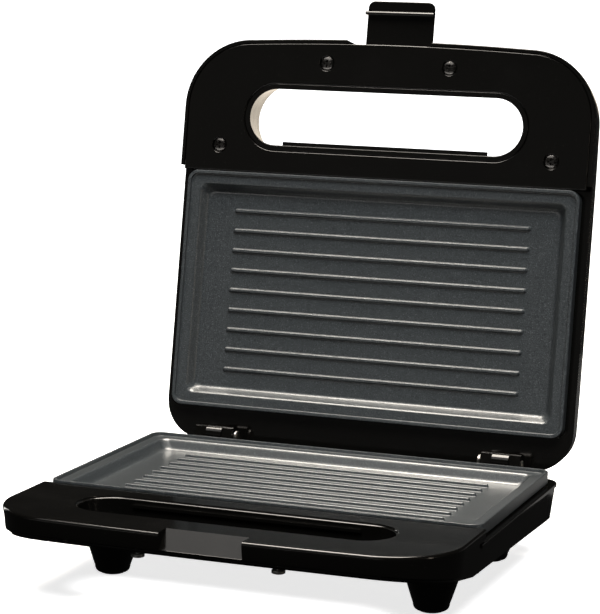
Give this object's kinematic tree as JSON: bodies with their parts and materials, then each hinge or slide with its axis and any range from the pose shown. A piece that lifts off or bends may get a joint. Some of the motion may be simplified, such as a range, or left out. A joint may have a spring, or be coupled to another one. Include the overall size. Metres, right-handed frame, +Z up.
{
  "type": "panini press",
  "caption": "Tabletop contact grill for toasting sandwiches: hinged lid and base with ribbed non-stick plates, finger-slot handles and a swing latch.",
  "frame": {"origin": "on the table, under the middle of the open press's box as seen from above", "axes": "+X to the right as the user faces the handles, +Y away from the user towards the hinge, +Z up"},
  "size_m": [0.2324, 0.281, 0.2827],
  "materials": {
    "black_gloss": "gloss black moulded plastic",
    "nonstick_plate": "fine-speckled dark grey non-stick coating over cast aluminium",
    "steel": "zinc-plated steel",
    "reflector": "plain rolled sheet",
    "rubber": "matt black rubber",
    "ceramic": "unglazed steatite",
    "red_lens": "clear red plastic",
    "green_lens": "clear green plastic",
    "lamp_glass": "clear glass neon lamp"
  },
  "bodies": {
    "base": {"base_handle_cover": "black_gloss", "base_handle_screw_1": "steel", "base_handle_screw_2": "steel", "base_handle_screw_3": "steel", "base_handle_screw_4": "steel", "base_housing": "black_gloss", "cord_gland": "rubber", "foot_front_left": "black_gloss", "foot_front_right": "black_gloss", "foot_pad_front_left": "rubber", "foot_pad_front_right": "rubber", "foot_pad_rear_left": "rubber", "foot_pad_rear_right": "rubber", "foot_rear_left": "black_gloss", "foot_rear_right": "black_gloss", "hinge_pin_left": "steel", "hinge_pin_right": "steel", "lower_element_clamp_left": "steel", "lower_element_clamp_right": "steel", "lower_heat_reflector": "reflector", "lower_heating_element": "steel", "lower_plate": "nonstick_plate", "lower_plate_screw_left": "steel", "lower_plate_screw_right": "steel", "terminal_block": "ceramic"},
    "lid": {"green_lamp": "lamp_glass", "green_lens": "green_lens", "latch_pin": "steel", "lid_cover_screw_1": "steel", "lid_cover_screw_2": "steel", "lid_cover_screw_3": "steel", "lid_cover_screw_4": "steel", "lid_handle_cover": "black_gloss", "lid_shell": "black_gloss", "red_lamp": "lamp_glass", "red_lens": "red_lens", "thermal_fuse": "steel", "thermostat": "steel", "upper_element_clamp_left": "steel", "upper_element_clamp_right": "steel", "upper_heat_reflector": "reflector", "upper_heating_element": "steel", "upper_plate": "nonstick_plate", "upper_plate_screw_left": "steel", "upper_plate_screw_right": "steel"},
    "latch": {"latch": "black_gloss"}
  },
  "joints": [
    {"name": "lid_hinge", "type": "hinge", "parent": "base", "child": "lid", "pos_m": [0, 0.07619, 0.0459], "axis": [1, 0, 0], "range_deg": [0, 99.3]},
    {"name": "latch_pivot", "type": "hinge", "parent": "lid", "child": "latch", "pos_m": [0, 0.12252, 0.25142], "axis": [1, 0, 0], "range_deg": [0, 90]}
  ]
}
